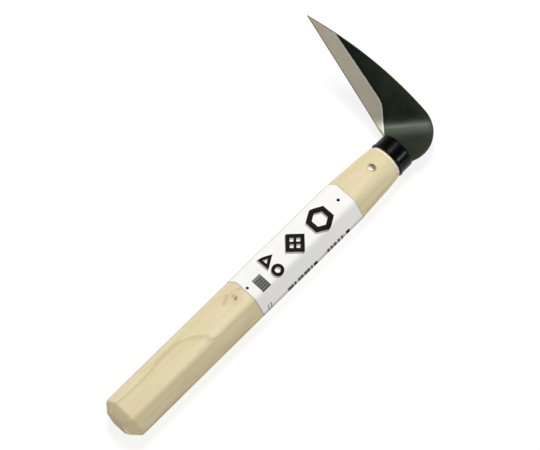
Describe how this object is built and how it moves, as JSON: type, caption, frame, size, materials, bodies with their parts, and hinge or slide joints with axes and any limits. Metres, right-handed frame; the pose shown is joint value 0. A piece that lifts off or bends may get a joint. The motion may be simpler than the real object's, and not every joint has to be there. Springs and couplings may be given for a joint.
{
  "type": "hand sickle",
  "caption": "Short weeding sickle with a folded single-bevel steel blade, a black ferrule and a hexagonal wooden handle with a paper sleeve.",
  "frame": {"origin": "centre of the flat butt face of the handle", "axes": "+X along the handle from the butt to the blade, +Z out of the labelled flat of the handle, +Y the way the blade reaches out"},
  "size_m": [0.2352, 0.0902, 0.049],
  "materials": {
    "blade_steel": "blackened forged steel, satin, with a bright ground bevel",
    "ferrule_black": "gloss black",
    "handle_wood": "plain sanded hardwood, dry",
    "pin_steel": "dull, slightly rusted",
    "label_paper": null
  },
  "bodies": {
    "root": {"blade": "blade_steel", "ferrule": "ferrule_black", "handle": "handle_wood", "retaining_pin": "pin_steel", "label_sleeve": "label_paper"}
  },
  "joints": []
}
